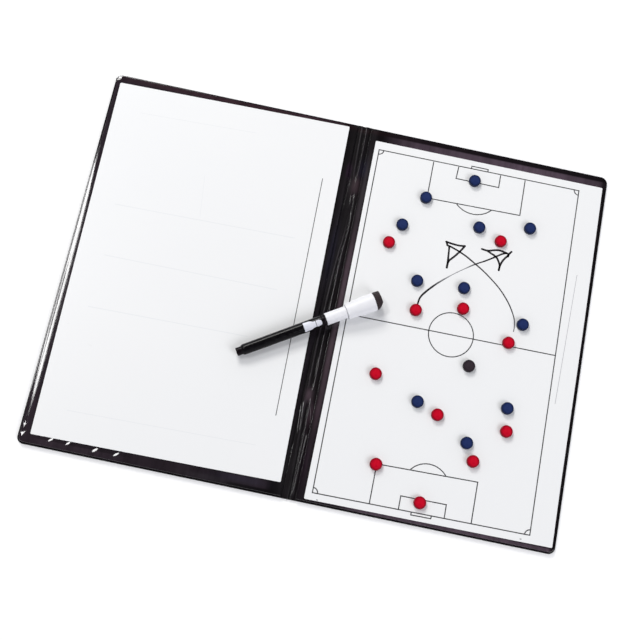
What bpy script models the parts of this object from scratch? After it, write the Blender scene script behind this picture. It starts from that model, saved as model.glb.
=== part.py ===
"""A coach's tactics folder, lying open: two magnetic covers, a soft spine, a marker and 23 magnets.

The folder lies flat with its underside on z = 0 and its spine along Y. X runs across the open
folder and the origin is under the middle of its outline. Each part is one named solid.
"""

import math

import bmesh
import bpy
from mathutils import Matrix, Vector

# Lengths are in metres. mm turns a size that is easier to read in millimetres into metres.
mm = 0.001

# The folder's outline
FOLDER_HEIGHT = 312.4 * mm  # along the spine
LEFT_REACH = 210.6 * mm  # from the middle of the spine to the left cover's outer edge
RIGHT_REACH = 207.1 * mm
CORNER_RADIUS = 5.5 * mm
SPINE_X = (LEFT_REACH - RIGHT_REACH) / 2  # the outline is centred on x = 0

# The layers of a cover, from the table upwards
VINYL = 0.5 * mm
BOARD = 1.8 * mm
STEEL = 0.5 * mm
SHEET = 0.4 * mm
LAYER_GAP = 0.1 * mm  # left between two layers that touch on the real folder

BOARD_Z = VINYL + LAYER_GAP
STEEL_Z = BOARD_Z + BOARD + LAYER_GAP
FACE_Z = STEEL_Z + STEEL + LAYER_GAP + VINYL  # top of the inner vinyl over the steel
SHEET_Z = FACE_Z + LAYER_GAP
SHEET_TOP = SHEET_Z + SHEET
WELD_Z = VINYL + LAYER_GAP + VINYL  # top of the inner vinyl where it is welded to the outer one

# How the inner vinyl comes down over the edge of the board to the welded rim
WELD_WIDTH = 1.0 * mm
SHOULDER_WIDTH = 1.4 * mm
SHOULDER_STEPS = 5
INNER_CORNER = 3.0 * mm  # the inner vinyl's corners beside the spine
SMALLEST_CORNER = 0.3 * mm
BOARD_CLEARANCE = 0.5 * mm  # from the vinyl's inner wall to the board
STEEL_MARGIN = 0.6 * mm  # the steel stops this far inside the board's edge

# The creases that the covers fold on
SPINE_HALF_WIDTH = 4.5 * mm  # from the middle of the spine to each crease
CREASE_Z = 1.6 * mm  # the fold line lies at about half the cover's thickness
CREASE_GAP = 0.1 * mm  # from a crease to the edge of the vinyl on either side of it

# The spine's inner vinyl: a valley between two ridges, with two places where it has buckled up
RIDGE_SPACING = 4.0 * mm
RIDGE_WIDTH = 0.8 * mm
RIDGE_RISE = 1.1 * mm
PUCKER_RISE = 0.9 * mm
PUCKER_WIDTH = 1.5 * mm
PUCKER_LENGTH = 5.0 * mm
PUCKER_PLACES = (103.5 * mm, -73.5 * mm)
LINER_COLUMNS = 18
LINER_ROWS = 36

# The two white sheets: where their middles are, and the small turn they were stuck down with
SHEET_WIDTH = 193.0 * mm
SHEET_HEIGHT = 297.0 * mm
LEFT_SHEET_FROM_SPINE = 107.3 * mm
LEFT_SHEET_UP = 2.2 * mm
LEFT_SHEET_TURN = math.radians(0.9)
RIGHT_SHEET_FROM_SPINE = 106.9 * mm
RIGHT_SHEET_UP = -3.6 * mm
RIGHT_SHEET_TURN = math.radians(0.3)

# The magnets, as places from the middle of the right sheet
MAGNET_DIAMETER = 9.7 * mm
MAGNET_THICKNESS = 3.5 * mm
MAGNET_ROUNDING = 0.8 * mm  # of the moulded cap's top edge
MAGNET_SEGMENTS = 24
ROUNDING_STEPS = 2
MAGNET_GAP = 0.1 * mm  # over the sheet
BLUE_PLACES_MM = (
    (-9, 131), (-46, 108), (-61, 81), (1, 92), (42, 100), (-41, 37),
    (-3, 39), (48, 19), (-24, -59), (46, -50), (19, -83),
)
RED_PLACES_MM = (
    (-69, 64), (20, 84), (-38, 13), (-1, 22), (39, 2), (-60, -44),
    (-7, -66), (48, -68), (26, -96), (-47, -113), (-9, -135),
)
BLACK_PLACE_MM = (11, -23)

# The marker, lying across the spine. Lengths run along it from the plug's end.
MARKER_TAIL_FROM_SPINE = -62.3 * mm
MARKER_TAIL_Y = -54.5 * mm
MARKER_HEADING = math.radians(32.4)  # turned this far from +X
MARKER_REST_GAP = 0.15 * mm  # over the sheets
TURN_STEPS = 32

PLUG_DIAMETER = 6.6 * mm
PLUG_LENGTH = 4.4 * mm
PLUG_BEVEL = 0.5 * mm
PLUG_SPIGOT = 5.0 * mm
SEAT_GAP = 0.2 * mm  # between two end faces that touch on the real marker
BARREL_LENGTH = 66.4 * mm
BARREL_REAR_DIAMETER = 8.6 * mm
BARREL_FRONT_DIAMETER = 9.1 * mm
BARREL_BORE = 7.0 * mm
BARREL_BEVEL = 0.8 * mm
BORE_FIT = 0.15 * mm  # radial gap of what is pressed into a bore
RESERVOIR_DIAMETER = 6.2 * mm
COLLAR_DIAMETER = 8.3 * mm
COLLAR_SHOWS = 3.1 * mm  # the length of collar between barrel and cap
COLLAR_IN_CAP = 4.2 * mm
COLLAR_SPIGOT = 6.0 * mm
COLLAR_RING_RISE = 0.25 * mm
NOSE_LENGTH = 4.5 * mm
NOSE_DIAMETER = 5.0 * mm
NIB_DIAMETER = 3.0 * mm
NIB_TIP_DIAMETER = 1.4 * mm
NIB_SHOWS = 4.5 * mm

CAP_DIAMETER = 9.8 * mm
CAP_FIT = 0.15 * mm  # radial gap between collar and cap
CAP_LENGTH = 17.2 * mm
CAP_ROOF = 1.5 * mm
CAP_SPIGOT_DIAMETER = 8.0 * mm
CAP_SPIGOT_LENGTH = 9.0 * mm
HOLDER_LENGTH = 23.6 * mm
HOLDER_FRONT_DIAMETER = 12.6 * mm
HOLDER_REAR_DIAMETER = 14.8 * mm
HOLDER_BEVEL = 0.5 * mm
FELT_DIAMETER = 12.6 * mm
FELT_SHOWS = 5.8 * mm
FELT_IN_HOLDER = 2.5 * mm
FELT_FLANGE = 14.6 * mm
FELT_DOME = 0.8 * mm


def clear_scene():
    for obj in list(bpy.data.objects):
        bpy.data.objects.remove(obj, do_unlink=True)


def folder_collection():
    collection = bpy.data.collections.new("tactics_folder")
    bpy.context.scene.collection.children.link(collection)
    return collection


def make_material(name, colour, roughness, metallic=0.0):
    material = bpy.data.materials.new(name)
    material.use_nodes = True
    shader = material.node_tree.nodes["Principled BSDF"]
    shader.inputs["Base Color"].default_value = (*colour, 1.0)
    shader.inputs["Roughness"].default_value = roughness
    shader.inputs["Metallic"].default_value = metallic
    return material


clear_scene()
COLLECTION = folder_collection()
BLACK_VINYL = ((0.022, 0.017, 0.020), 0.32)
WHITE_SHEET = ((0.86, 0.86, 0.86), 0.28)
GREY_BOARD = ((0.30, 0.28, 0.25), 0.9)
BLACK_PLASTIC = ((0.016, 0.014, 0.016), 0.35)
WHITE_PLASTIC = ((0.80, 0.80, 0.82), 0.35)
INK_FIBRE = ((0.05, 0.05, 0.06), 0.95)
DARK_FELT = ((0.085, 0.060, 0.055), 0.97)
TEAM_COLOURS = {
    "blue": ((0.012, 0.026, 0.120), 0.38),
    "red": ((0.48, 0.004, 0.022), 0.38),
    "black": ((0.030, 0.024, 0.028), 0.38),
}


def add_empty(name, matrix, parent=None):
    """An empty that marks where a moving body turns or slides. Its matrix is in its parent's space."""
    empty = bpy.data.objects.new(name, None)
    empty.empty_display_size = 0.01
    COLLECTION.objects.link(empty)
    empty.parent = parent
    empty.matrix_basis = matrix
    return empty


def add_solid(name, mesh, finish, parent=None, metallic=0.0):
    """The object for one piece, with a material of its own."""
    obj = bpy.data.objects.new(name, mesh)
    COLLECTION.objects.link(obj)
    mesh.materials.append(make_material(name, finish[0], finish[1], metallic))
    obj.parent = parent
    return obj


def mesh_from(bm, name):
    bmesh.ops.recalc_face_normals(bm, faces=bm.faces)
    mesh = bpy.data.meshes.new(name)
    bm.to_mesh(mesh)
    bm.free()
    return mesh


def corner_points(x, y, radius, start, steps):
    """A quarter circle round a corner that lies at (x, y) before it is rounded."""
    if radius <= 0:
        return [(x, y)]
    turn = start + math.pi / 4
    centre_x = x - radius * math.copysign(1, math.cos(turn))
    centre_y = y - radius * math.copysign(1, math.sin(turn))
    angles = [start + math.pi / 2 * step / steps for step in range(steps + 1)]
    return [(centre_x + radius * math.cos(a), centre_y + radius * math.sin(a)) for a in angles]


def outline(low_x, high_x, half_height, low_radius, high_radius, steps=6):
    """A rounded rectangle about y = 0, anticlockwise, with one radius for each of its long sides."""
    points = corner_points(high_x, -half_height, high_radius, -math.pi / 2, steps)
    points += corner_points(high_x, half_height, high_radius, 0.0, steps)
    points += corner_points(low_x, half_height, low_radius, math.pi / 2, steps)
    points += corner_points(low_x, -half_height, low_radius, math.pi, steps)
    return points


def plate(name, points, bottom, thickness):
    """A flat plate with this outline."""
    bm = bmesh.new()
    face = bm.faces.new([bm.verts.new((x, y, bottom)) for x, y in points])
    grown = bmesh.ops.extrude_face_region(bm, geom=[face])
    raised = [part for part in grown["geom"] if isinstance(part, bmesh.types.BMVert)]
    bmesh.ops.translate(bm, verts=raised, vec=(0, 0, thickness))
    return mesh_from(bm, name)


def loft(name, rings):
    """An open skin through rings of equal length, the last of them filled."""
    bm = bmesh.new()
    levels = [[bm.verts.new(point) for point in ring] for ring in rings]
    for lower, upper in zip(levels, levels[1:]):
        for i in range(len(lower)):
            j = (i + 1) % len(lower)
            bm.faces.new((lower[i], lower[j], upper[j], upper[i]))
    bm.faces.new(levels[-1])
    mesh = bpy.data.meshes.new(name)
    bm.to_mesh(mesh)
    bm.free()
    return mesh


def turned(name, profile, finish, parent, along=0.0):
    """A solid of revolution about the parent's Z, from (radius, height) points that run from the top down."""
    mesh = bpy.data.meshes.new(name)
    points = [(radius, 0.0, height) for radius, height in profile]
    edges = [(i, i + 1) for i in range(len(points) - 1)]
    if profile[0][0] > 0:
        edges.append((len(points) - 1, 0))
    mesh.from_pydata(points, edges, [])
    obj = add_solid(name, mesh, finish, parent)
    obj.location.z = along
    screw = obj.modifiers.new("Turn", "SCREW")
    screw.axis = "Z"
    screw.steps = TURN_STEPS
    screw.render_steps = TURN_STEPS
    screw.use_merge_vertices = True
    screw.merge_threshold = 0.01 * mm
    return obj


class Cover:
    """One side of the folder: which way it reaches from the spine, and the places along it."""

    def __init__(self, side, reach):
        self.side = side  # -1 to the left, +1 to the right
        self.crease_x = SPINE_X + side * SPINE_HALF_WIDTH
        self.inner_x = self.crease_x + side * CREASE_GAP
        self.outer_x = SPINE_X + side * reach

    def outline(self, inset, inner_radius):
        outer_radius = max(CORNER_RADIUS - inset, SMALLEST_CORNER)
        inner = self.inner_x + self.side * inset
        outer = self.outer_x - self.side * inset
        half_height = FOLDER_HEIGHT / 2 - inset
        if self.side < 0:
            return outline(outer, inner, half_height, outer_radius, inner_radius)
        return outline(inner, outer, half_height, inner_radius, outer_radius)


def shoulder_rings(cover):
    """The inner vinyl's top surface, as rings from the welded rim up over the board's edge."""
    levels = [(0.0, WELD_Z)]
    for step in range(SHOULDER_STEPS + 1):
        angle = math.pi / 2 * step / SHOULDER_STEPS
        inset = WELD_WIDTH + SHOULDER_WIDTH * (1 - math.cos(angle))
        levels.append((inset, WELD_Z + (FACE_Z - WELD_Z) * math.sin(angle)))
    rings = []
    for inset, height in levels:
        inner_radius = max(INNER_CORNER - inset, SMALLEST_CORNER)
        rings.append([(x, y, height) for x, y in cover.outline(inset, inner_radius)])
    return rings


def build_sheet(name, middle_x, middle_y, turn, hinge):
    half_width = SHEET_WIDTH / 2
    points = outline(-half_width, half_width, SHEET_HEIGHT / 2, 0.0, 0.0)
    mesh = plate(name, points, 0.0, SHEET)
    sheet = add_solid(name, mesh, WHITE_SHEET, hinge)
    place = Matrix.Translation((middle_x, middle_y, SHEET_Z)) @ Matrix.Rotation(turn, 4, "Z")
    sheet.matrix_basis = hinge.matrix_basis.inverted() @ place
    return sheet


def build_cover(name, cover):
    """The vinyl pocket of one cover, and the board and steel inside it."""
    hinge = add_empty(f"{name}_hinge", Matrix.Translation((cover.crease_x, 0, CREASE_Z)))
    to_hinge = Matrix.Translation((-cover.crease_x, 0, -CREASE_Z))

    outer = plate(f"{name}_outer_vinyl", cover.outline(0.0, 0.0), 0.0, VINYL)
    add_solid(f"{name}_outer_vinyl", outer, BLACK_VINYL, hinge).matrix_basis = to_hinge

    board_inset = WELD_WIDTH + VINYL + BOARD_CLEARANCE
    board = plate(
        f"{name}_board", cover.outline(board_inset, SMALLEST_CORNER), BOARD_Z, BOARD
    )
    add_solid(f"{name}_board", board, GREY_BOARD, hinge).matrix_basis = to_hinge

    steel_outline = cover.outline(board_inset + STEEL_MARGIN, SMALLEST_CORNER)
    steel = plate(f"{name}_steel_sheet", steel_outline, STEEL_Z, STEEL)
    steel_finish = ((0.55, 0.56, 0.57), 0.35)
    steel_object = add_solid(f"{name}_steel_sheet", steel, steel_finish, hinge, metallic=1.0)
    steel_object.matrix_basis = to_hinge

    inner = loft(f"{name}_inner_vinyl", shoulder_rings(cover))
    inner_object = add_solid(f"{name}_inner_vinyl", inner, BLACK_VINYL, hinge)
    inner_object.matrix_basis = to_hinge
    thicken = inner_object.modifiers.new("Vinyl", "SOLIDIFY")
    thicken.thickness = VINYL
    thicken.offset = -1.0
    thicken.use_even_offset = True
    return hinge


def liner_height(across, along):
    """Top of the spine's inner vinyl at this place, from the middle of the spine."""
    height = WELD_Z
    for ridge in (-RIDGE_SPACING / 2, RIDGE_SPACING / 2):
        height += RIDGE_RISE * math.exp(-(((across - ridge) / RIDGE_WIDTH) ** 2))
    for place in PUCKER_PLACES:
        run = ((along - place) / PUCKER_LENGTH) ** 2
        height += PUCKER_RISE * math.exp(-((across / PUCKER_WIDTH) ** 2) - run)
    return height


def liner_rows():
    """Places along the spine, closer together where the vinyl has puckered."""
    half = FOLDER_HEIGHT / 2
    rows = {-half, half}
    for step in range(1, LINER_ROWS // 3):
        rows.add(-half + 2 * half * step / (LINER_ROWS // 3))
    for place in PUCKER_PLACES:
        for step in range(-LINER_ROWS // 6, LINER_ROWS // 6 + 1):
            near = place + step * PUCKER_LENGTH / 2.5
            if -half < near < half:
                rows.add(near)
    spaced = []
    for row in sorted(rows):
        if not spaced or row - spaced[-1] > PUCKER_LENGTH / 5:
            spaced.append(row)
    spaced[-1] = half
    return spaced


def build_spine():
    """The strip of outer vinyl between the creases, and the rumpled inner vinyl over it."""
    half_width = SPINE_HALF_WIDTH - CREASE_GAP
    strip = outline(SPINE_X - half_width, SPINE_X + half_width, FOLDER_HEIGHT / 2, 0.0, 0.0)
    add_solid("spine_outer_vinyl", plate("spine_outer_vinyl", strip, 0.0, VINYL), BLACK_VINYL)

    bm = bmesh.new()
    columns = [
        -half_width + 2 * half_width * step / LINER_COLUMNS for step in range(LINER_COLUMNS + 1)
    ]
    top = []
    for along in liner_rows():
        row = [
            bm.verts.new((SPINE_X + across, along, liner_height(across, along)))
            for across in columns
        ]
        top.append(row)
    for near, far in zip(top, top[1:]):
        for i in range(LINER_COLUMNS):
            bm.faces.new((near[i], near[i + 1], far[i + 1], far[i]))
    grown = bmesh.ops.extrude_face_region(bm, geom=bm.faces[:])
    lowered = [part for part in grown["geom"] if isinstance(part, bmesh.types.BMVert)]
    bmesh.ops.translate(bm, verts=lowered, vec=(0, 0, -VINYL))
    add_solid("spine_inner_vinyl", mesh_from(bm, "spine_inner_vinyl"), BLACK_VINYL)


def build_magnet(name, colour, place_mm, sheet):
    bm = bmesh.new()
    bmesh.ops.create_cone(
        bm,
        cap_ends=True,
        segments=MAGNET_SEGMENTS,
        radius1=MAGNET_DIAMETER / 2,
        radius2=MAGNET_DIAMETER / 2,
        depth=MAGNET_THICKNESS,
    )
    top_rim = [edge for edge in bm.edges if all(vert.co.z > 0 for vert in edge.verts)]
    bmesh.ops.bevel(
        bm,
        geom=top_rim,
        offset=MAGNET_ROUNDING,
        segments=ROUNDING_STEPS,
        profile=0.5,
        affect="EDGES",
    )
    magnet = add_solid(name, mesh_from(bm, name), TEAM_COLOURS[colour], sheet)
    rest = SHEET + MAGNET_GAP + MAGNET_THICKNESS / 2
    magnet.location = (place_mm[0] * mm, place_mm[1] * mm, rest)


def build_magnets(sheet):
    for number, place in enumerate(BLUE_PLACES_MM, 1):
        build_magnet(f"blue_magnet_{number:02d}", "blue", place, sheet)
    for number, place in enumerate(RED_PLACES_MM, 1):
        build_magnet(f"red_magnet_{number:02d}", "red", place, sheet)
    build_magnet("black_magnet", "black", BLACK_PLACE_MM, sheet)


def marker_frame():
    """The marker's frame at its tail, with Z along it. It rests on the barrel's end and the eraser's rim."""
    rear_contact = PLUG_LENGTH + SEAT_GAP + BARREL_BEVEL
    cap_start = PLUG_LENGTH + SEAT_GAP + BARREL_LENGTH + SEAT_GAP + COLLAR_SHOWS
    front_contact = cap_start + CAP_LENGTH + SEAT_GAP + HOLDER_LENGTH - HOLDER_BEVEL
    rear_radius = BARREL_REAR_DIAMETER / 2
    front_radius = HOLDER_REAR_DIAMETER / 2
    tilt = math.atan2(front_radius - rear_radius, front_contact - rear_contact)
    height = rear_radius * math.cos(tilt) - rear_contact * math.sin(tilt)
    tail_x = SPINE_X + MARKER_TAIL_FROM_SPINE
    tail = Vector((tail_x, MARKER_TAIL_Y, SHEET_TOP + MARKER_REST_GAP + height))
    lie_down = Matrix.Rotation(math.pi / 2 - tilt, 4, "Y")
    heading = Matrix.Rotation(MARKER_HEADING, 4, "Z")
    return Matrix.Translation(tail) @ heading @ lie_down


def build_marker():
    tail = add_empty("marker_lift", marker_frame())
    barrel_start = PLUG_LENGTH + SEAT_GAP
    barrel_end = barrel_start + BARREL_LENGTH
    bore = BARREL_BORE / 2
    snug = bore - BORE_FIT

    plug = PLUG_DIAMETER / 2
    turned(
        "marker_end_plug",
        [
            (0.0, barrel_start + PLUG_SPIGOT),
            (snug, barrel_start + PLUG_SPIGOT),
            (snug, PLUG_LENGTH),
            (plug, PLUG_LENGTH),
            (plug, PLUG_BEVEL),
            (plug - PLUG_BEVEL, 0.0),
            (0.0, 0.0),
        ],
        BLACK_PLASTIC,
        tail,
    )

    rear = BARREL_REAR_DIAMETER / 2
    front = BARREL_FRONT_DIAMETER / 2
    turned(
        "marker_barrel",
        [
            (bore, barrel_end),
            (front - BARREL_BEVEL / 2, barrel_end),
            (front, barrel_end - BARREL_BEVEL / 2),
            (rear, barrel_start + BARREL_BEVEL),
            (rear - BARREL_BEVEL / 2, barrel_start),
            (bore, barrel_start),
        ],
        BLACK_PLASTIC,
        tail,
    )

    reservoir_start = barrel_start + PLUG_SPIGOT + SEAT_GAP
    spigot_end = barrel_end - COLLAR_SPIGOT
    reservoir_end = spigot_end - SEAT_GAP
    reservoir = RESERVOIR_DIAMETER / 2
    turned(
        "marker_ink_reservoir",
        [
            (0.0, reservoir_end),
            (reservoir, reservoir_end),
            (reservoir, reservoir_start),
            (0.0, reservoir_start),
        ],
        INK_FIBRE,
        tail,
    )

    collar = COLLAR_DIAMETER / 2
    collar_start = barrel_end + SEAT_GAP
    collar_end = collar_start + COLLAR_SHOWS + COLLAR_IN_CAP
    ring = collar_start + COLLAR_SHOWS / 2
    nose_end = collar_end + NOSE_LENGTH
    nib_bore = NIB_DIAMETER / 2 + BORE_FIT
    turned(
        "marker_nib_holder",
        [
            (nib_bore, nose_end),
            (NOSE_DIAMETER / 2, nose_end),
            (collar - BARREL_BEVEL, collar_end),
            (collar, collar_end - BARREL_BEVEL),
            (collar, ring + COLLAR_RING_RISE),
            (collar + COLLAR_RING_RISE, ring),
            (collar, ring - COLLAR_RING_RISE),
            (collar, collar_start),
            (snug, collar_start),
            (snug, spigot_end),
            (nib_bore, spigot_end),
        ],
        BLACK_PLASTIC,
        tail,
    )

    nib = NIB_DIAMETER / 2
    turned(
        "marker_nib",
        [
            (0.0, nose_end + NIB_SHOWS),
            (NIB_TIP_DIAMETER / 2, nose_end + NIB_SHOWS - NIB_TIP_DIAMETER / 4),
            (nib, nose_end + NIB_SHOWS / 3),
            (nib, spigot_end),
            (0.0, spigot_end),
        ],
        INK_FIBRE,
        tail,
    )
    return tail, collar_start + COLLAR_SHOWS


def build_marker_cap(tail, cap_start):
    cap = add_empty("marker_cap_slide", Matrix.Translation((0, 0, cap_start)), tail)
    bore = COLLAR_DIAMETER / 2 + CAP_FIT
    outer = CAP_DIAMETER / 2
    spigot = CAP_SPIGOT_DIAMETER / 2
    turned(
        "marker_cap",
        [
            (0.0, CAP_LENGTH + CAP_SPIGOT_LENGTH),
            (spigot, CAP_LENGTH + CAP_SPIGOT_LENGTH),
            (spigot, CAP_LENGTH),
            (outer, CAP_LENGTH),
            (outer, BARREL_BEVEL / 2),
            (outer - BARREL_BEVEL / 2, 0.0),
            (bore, 0.0),
            (bore, CAP_LENGTH - CAP_ROOF),
            (0.0, CAP_LENGTH - CAP_ROOF),
        ],
        WHITE_PLASTIC,
        cap,
    )

    holder_start = CAP_LENGTH + SEAT_GAP
    holder_end = holder_start + HOLDER_LENGTH
    front = HOLDER_FRONT_DIAMETER / 2
    rear = HOLDER_REAR_DIAMETER / 2
    recess = FELT_DIAMETER / 2 + BORE_FIT
    socket = spigot + BORE_FIT
    socket_end = CAP_LENGTH + CAP_SPIGOT_LENGTH + SEAT_GAP
    turned(
        "marker_eraser_holder",
        [
            (0.0, holder_end - FELT_IN_HOLDER),
            (recess, holder_end - FELT_IN_HOLDER),
            (recess, holder_end),
            (rear - HOLDER_BEVEL, holder_end),
            (rear, holder_end - HOLDER_BEVEL),
            (front + (rear - front) / 3, holder_start + HOLDER_LENGTH / 2),
            (front, holder_start + HOLDER_BEVEL),
            (front - HOLDER_BEVEL, holder_start),
            (socket, holder_start),
            (socket, socket_end),
            (0.0, socket_end),
        ],
        WHITE_PLASTIC,
        cap,
    )

    felt_end = holder_end + SEAT_GAP + FELT_SHOWS
    turned(
        "marker_felt_pad",
        [
            (0.0, felt_end),
            (FELT_FLANGE / 3, felt_end - FELT_DOME / 4),
            (FELT_FLANGE / 2, felt_end - FELT_DOME),
            (FELT_FLANGE / 2, holder_end + SEAT_GAP),
            (FELT_DIAMETER / 2, holder_end + SEAT_GAP),
            (FELT_DIAMETER / 2, holder_end - FELT_IN_HOLDER + SEAT_GAP),
            (0.0, holder_end - FELT_IN_HOLDER + SEAT_GAP),
        ],
        DARK_FELT,
        cap,
    )


def main():
    left = Cover(-1, LEFT_REACH)
    right = Cover(1, RIGHT_REACH)
    left_hinge = build_cover("left", left)
    right_hinge = build_cover("right", right)
    build_spine()
    build_sheet(
        "writing_sheet",
        SPINE_X - LEFT_SHEET_FROM_SPINE,
        LEFT_SHEET_UP,
        LEFT_SHEET_TURN,
        left_hinge,
    )
    pitch = build_sheet(
        "pitch_sheet",
        SPINE_X + RIGHT_SHEET_FROM_SPINE,
        RIGHT_SHEET_UP,
        RIGHT_SHEET_TURN,
        right_hinge,
    )
    build_magnets(pitch)
    tail, cap_start = build_marker()
    build_marker_cap(tail, cap_start)


main()
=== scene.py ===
"""The dressed tactics folder: vinyl skins, printed pitch, pen strokes, magnets and marker."""

import math

import bmesh
import bpy
import numpy as np
from mathutils import Matrix, Vector, noise


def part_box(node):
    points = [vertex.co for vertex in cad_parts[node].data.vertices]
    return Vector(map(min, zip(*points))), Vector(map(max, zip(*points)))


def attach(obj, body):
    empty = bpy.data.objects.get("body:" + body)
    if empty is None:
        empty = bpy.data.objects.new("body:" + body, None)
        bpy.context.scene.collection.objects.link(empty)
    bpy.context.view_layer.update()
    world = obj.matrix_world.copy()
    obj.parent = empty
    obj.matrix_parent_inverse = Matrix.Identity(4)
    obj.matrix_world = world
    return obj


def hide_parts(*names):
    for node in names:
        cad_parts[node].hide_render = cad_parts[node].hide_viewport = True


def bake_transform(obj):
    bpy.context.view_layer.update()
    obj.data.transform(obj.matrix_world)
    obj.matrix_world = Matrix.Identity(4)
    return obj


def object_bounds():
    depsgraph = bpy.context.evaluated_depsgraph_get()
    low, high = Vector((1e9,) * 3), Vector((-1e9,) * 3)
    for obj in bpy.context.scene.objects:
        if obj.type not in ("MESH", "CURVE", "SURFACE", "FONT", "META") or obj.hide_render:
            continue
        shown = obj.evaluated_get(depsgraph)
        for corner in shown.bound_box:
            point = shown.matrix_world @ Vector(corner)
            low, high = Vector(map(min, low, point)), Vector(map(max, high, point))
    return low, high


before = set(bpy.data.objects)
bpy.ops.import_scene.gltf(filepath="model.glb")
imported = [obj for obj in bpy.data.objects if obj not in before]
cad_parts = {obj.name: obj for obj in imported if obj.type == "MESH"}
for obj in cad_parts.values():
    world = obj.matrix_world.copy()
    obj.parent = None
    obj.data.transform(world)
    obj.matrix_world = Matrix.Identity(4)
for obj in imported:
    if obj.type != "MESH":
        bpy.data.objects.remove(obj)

CAD_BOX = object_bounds()

# Lengths below are in millimetres, and mm turns them into metres where a mesh is made.
mm = 0.001

# The folder, from the CAD where it moves with the source, and else as in the source
LEFT_X = CAD_BOX[0].x / mm
RIGHT_X = CAD_BOX[1].x / mm
HALF_HEIGHT = CAD_BOX[1].y / mm
SPINE_X = sum(corner.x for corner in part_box("spine_outer_vinyl")) / 2 / mm
SHEET_Y = sum(corner.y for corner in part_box("pitch_sheet")) / 2 / mm
CORNER = 5.5
CREASE_REACH = 4.5
FACE_Z = 3.6
SHEET_TOP = 4.1

# The film's thickness at the welded rim and under the covers, over the boards, and more over the spine
FILM = 0.5
THIN_FILM = 0.12
SPINE_FILM = 0.08

# Places read off the photograph have the spine at x = 2.4 and the right sheet's middle at y = -3.1.
# This far from them lie the same places of the part.
SHIFT = np.array((SPINE_X - 2.4, SHEET_Y + 3.1))


# Materials

class Finish:
    """A Principled material and short names for the nodes that feed it."""

    def __init__(self, name, colour, roughness):
        self.material = bpy.data.materials.new(name)
        self.material.use_nodes = True
        self.tree = self.material.node_tree
        self.shader = self.tree.nodes["Principled BSDF"]
        self.place = None
        self.set("Base Color", (*colour, 1.0))
        self.set("Roughness", roughness)

    def feed(self, socket, value):
        if hasattr(value, "links"):
            self.tree.links.new(value, socket)
        else:
            socket.default_value = value

    def set(self, key, value):
        self.feed(self.shader.inputs[key], value)

    def node(self, kind, inputs=(), **settings):
        made = self.tree.nodes.new(kind)
        for key, value in settings.items():
            setattr(made, key, value)
        for key, value in dict(inputs).items():
            self.feed(made.inputs[key], value)
        return made

    def attribute(self, name, output):
        return self.node("ShaderNodeAttribute", attribute_name=name).outputs[output]

    def where(self, stretch=None):
        """Places on the piece, in metres at rest, stretched for long grain."""
        if self.place is None:
            self.place = self.node("ShaderNodeTexCoord").outputs["Object"]
        if stretch is None:
            return self.place
        return self.node("ShaderNodeMapping", {"Vector": self.place, "Scale": stretch}).outputs["Vector"]

    def noise(self, scale, detail, roughness=0.55, stretch=None, distortion=0.0):
        inputs = {"Vector": self.where(stretch), "Scale": scale, "Detail": detail}
        inputs |= {"Roughness": roughness, "Distortion": distortion}
        return self.node("ShaderNodeTexNoise", inputs).outputs["Fac"]

    def range(self, value, low, high, to_low=0.0, to_high=1.0):
        inputs = {"Value": value, "From Min": low, "From Max": high, "To Min": to_low, "To Max": to_high}
        return self.node("ShaderNodeMapRange", inputs).outputs["Result"]

    def maths(self, operation, a, b):
        return self.node("ShaderNodeMath", {0: a, 1: b}, operation=operation).outputs[0]

    def mix(self, share, first, second, blend="MIX"):
        first, second = ((*c, 1.0) if isinstance(c, tuple) else c for c in (first, second))
        inputs = {0: share, 6: first, 7: second}
        return self.node("ShaderNodeMix", inputs, data_type="RGBA", blend_type=blend).outputs[2]

    def bump(self, height, strength, distance):
        inputs = {"Height": height, "Strength": strength, "Distance": distance}
        self.set("Normal", self.node("ShaderNodeBump", inputs).outputs["Normal"])

    def paint(self, share, first, second):
        self.set("Base Color", self.mix(share, first, second))


def vinyl_finish(name):
    """Glossy black PVC film with faint drawn streaks.

    The mesh's tint attribute says where the film is clouded and holds painted highlights, reflections
    and shade; its flexed attribute says where bending has dulled it.
    """
    made = Finish(name, (0.0055, 0.0038, 0.0048), 0.15)
    made.place = made.attribute("rest", "Vector")
    cloud = made.noise(34.0, 4.0, 0.6, (1.0, 0.6, 1.0))
    streak = made.noise(170.0, 3.0, 0.6, (1.0, 0.18, 1.0))
    share = made.maths("MULTIPLY", made.range(cloud, 0.42, 0.7), made.range(streak, 0.3, 0.75))
    black = made.mix(share, (0.0034, 0.0025, 0.0031), (0.0072, 0.0052, 0.0068))
    patchy = made.mix(made.range(streak, 0.3, 0.7), (0.72, 0.72, 0.72), (1.25, 1.25, 1.25))
    # the tint attribute adds clouding and painted highlights, reflections and shade
    clouded_and_painted_light = made.mix(1.0, made.attribute("tint", "Color"), patchy, "MULTIPLY")
    made.set("Base Color", made.mix(1.0, black, clouded_and_painted_light, "ADD"))
    worn = made.range(made.noise(90.0, 3.0, 0.6), 0.3, 0.7, 0.07, 0.11)
    dulled = made.maths("MULTIPLY", made.attribute("flexed", "Fac"), 0.13)
    made.set("Roughness", made.maths("ADD", worn, dulled))
    made.bump(made.noise(1500.0, 2.0, 0.5), 0.03, 0.00002)
    return made.material


def sheet_finish(name):
    """Satin film on card: nearly white, with the faint cloud and fine wipe marks of a dry-wipe board."""
    white, cool = (0.925, 0.926, 0.927), (0.908, 0.916, 0.921)
    made = Finish(name, white, 0.26)
    cloud = made.noise(5.0, 2.0, 0.5)
    made.paint(made.range(cloud, 0.2, 0.8), white, cool)
    made.set("Specular IOR Level", 0.3)
    wipes = made.noise(30.0, 3.0, 0.6, (0.8, 1.6, 1.0), 0.8)
    made.set("Roughness", made.range(wipes, 0.2, 0.8, 0.27, 0.30))
    made.bump(made.noise(420.0, 2.0, 0.5), 0.008, 0.0001)
    return made.material


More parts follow.
